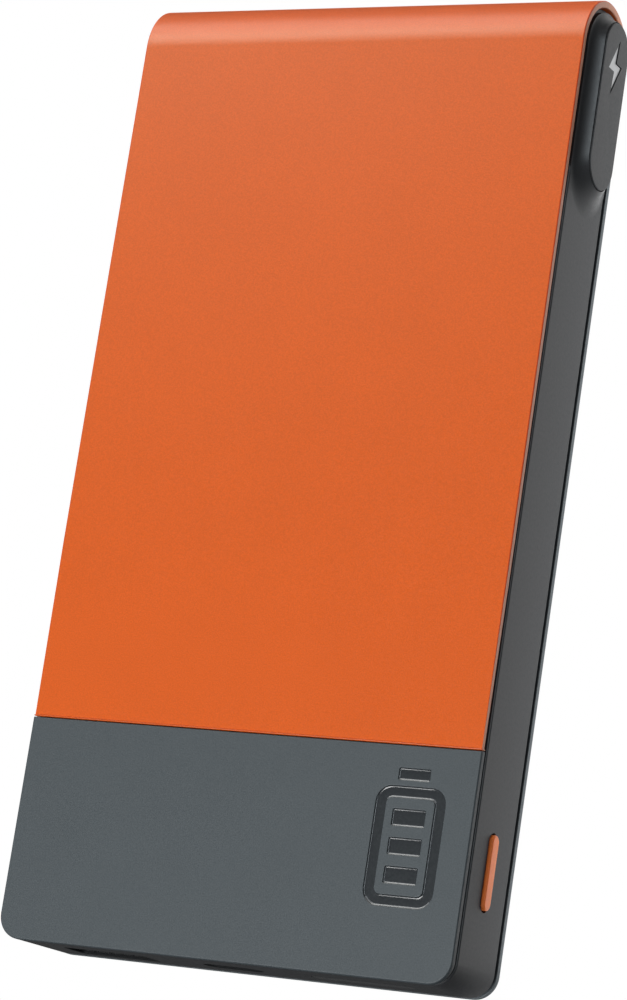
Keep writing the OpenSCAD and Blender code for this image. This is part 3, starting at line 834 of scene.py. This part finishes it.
def make_floor():
    """Pale floor: even white to the camera, while other rays see a glowing strip beside the part."""
    bm = bmesh.new()
    bmesh.ops.create_grid(bm, x_segments=1, y_segments=1, size=4)
    floor = new_object("floor", bm)
    floor.location.z = -FLOOR_DROP
    paint = Paint("pale_floor", (0.1, 0.1, 0.1), roughness=0.9)
    nodes, links = paint.nodes, paint.links
    paint.vary_colour(paint.noise(0.3), 0.99, 1.0)
    place = nodes.new("ShaderNodeSeparateXYZ")
    links.new(paint.where, place.inputs[0])
    near = paint.ramp(place.outputs["X"], 0, SIDE_GLOW, at=(SIDE_X - 6 * MM, SIDE_X))
    far = paint.ramp(place.outputs["X"], 1, 0, at=(SIDE_X + 12 * MM, SIDE_X + 24 * MM))
    start = paint.ramp(place.outputs["Y"], 0, END_SHARE, at=(END_Y - 5 * MM, END_Y + 6 * MM))
    slope = paint.ramp(place.outputs["Y"], 1, CROWN_SHARE, at=(END_Y, CROWN_Y))
    glow = near
    for factor in (far, start, slope):
        glow = paint.combine("MULTIPLY", glow, factor)
    beyond = paint.ramp(place.outputs["Y"], 0, CROWN_GLOW, at=(CROWN_Y + 15 * MM, CROWN_Y + 40 * MM))
    glow = paint.combine("ADD", glow, beyond)
    paint.shader.inputs["Emission Color"].default_value = (1, 1, 1, 1)
    links.new(glow, paint.shader.inputs["Emission Strength"])
    white = nodes.new("ShaderNodeEmission")
    white.inputs["Strength"].default_value = 1.0
    mix = nodes.new("ShaderNodeMixShader")
    output = nodes["Material Output"]
    links.new(nodes.new("ShaderNodeLightPath").outputs["Is Camera Ray"], mix.inputs[0])
    links.new(paint.shader.outputs["BSDF"], mix.inputs[1])
    links.new(white.outputs["Emission"], mix.inputs[2])
    links.new(mix.outputs["Shader"], output.inputs["Surface"])
    floor.data.materials.append(paint.material)


def make_light(name, direction, distance, size, power, colour=(1, 1, 1)):
    """Soft box in a direction from the part, aimed at it."""
    data = bpy.data.lights.new(name, "AREA")
    data.shape = "RECTANGLE"
    data.size, data.size_y = size
    data.energy = power
    data.color = colour
    light = bpy.data.objects.new(name, data)
    bpy.context.scene.collection.objects.link(light)
    aim = Vector(direction).normalized()
    light.location = aim * distance
    light.rotation_euler = (-aim).to_track_quat("-Z", "Y").to_euler()
    return light


def only_lights(light, piece):
    """Keeps a light to one piece."""
    receivers = bpy.data.collections.new(light.name + "_receivers")
    receivers.objects.link(piece)
    light.light_linking.receiver_collection = receivers


def make_lights(sleeve_piece, frame_piece):
    """Dim sky and six soft boxes; two of them light one piece each, three give highlights only."""
    world = bpy.data.worlds.new("studio")
    bpy.context.scene.world = world
    world.use_nodes = True
    sky = world.node_tree.nodes["Background"]
    sky.inputs["Color"].default_value = (0.93, 0.96, 1.0, 1)
    sky.inputs["Strength"].default_value = 0.08
    make_light("key", (-0.12, -0.54, 0.83), 0.9, (0.5, 0.5), 7.15)
    make_light("haze", (-0.45, 0.78, 0.44), 1.0, (0.9, 0.66), 5.8, (1.0, 0.95, 0.88))
    crown = make_light("crown", (-0.1, 0.96, 0.25), 1.3, (1.17, 0.39), 5.6, (1.0, 0.93, 0.85))
    crown.visible_glossy = False
    sheen = make_light("sheen", (-0.46, 0.6, 0.65), 1.0, (0.5, 0.3), 2.3, (0.5, 1.0, 0.85))
    only_lights(sheen, sleeve_piece)
    streak, glint = (make_light(name, (0.63, 0.2, 0.75), 1.0, (0.9, 0.12), power, (0.85, 0.94, 1.0))
                     for name, power in (("streak", 24), ("glint", 2.5)))
    only_lights(streak, frame_piece)
    for light in (sheen, streak, glint):
        light.visible_diffuse = False


def make_camera():
    """Camera at the angle of the reference view, on a long lens."""
    azimuth, elevation, roll = (math.radians(a) for a in (66.11, 59.50, 60.34))
    distance = 541.0 * MM
    target = Vector((-0.1 * MM, -3.64 * MM, MID_Z))
    back = Vector((math.sin(azimuth) * math.cos(elevation),
                   -math.cos(azimuth) * math.cos(elevation), math.sin(elevation)))
    data = bpy.data.cameras.new("camera")
    data.lens = 130.82
    data.sensor_width = 36
    data.clip_start = 0.01
    data.clip_end = 20
    camera = bpy.data.objects.new("camera", data)
    bpy.context.scene.collection.objects.link(camera)
    turn = (-back).to_track_quat("-Z", "Y").to_matrix().to_4x4()
    camera.matrix_world = (Matrix.Translation(target + back * distance) @ turn
                           @ Matrix.Rotation(-roll, 4, "Z"))
    bpy.context.scene.camera = camera


bpy.context.scene.view_settings.view_transform = "Standard"

make_camera()
make_floor()
sleeve_piece = make_sleeve()
make_front_panel()
make_rear_cover()
frame_piece = make_chassis()
make_lights(sleeve_piece, frame_piece)
make_badge()
make_button()
make_window()
dress_inner_nodes()
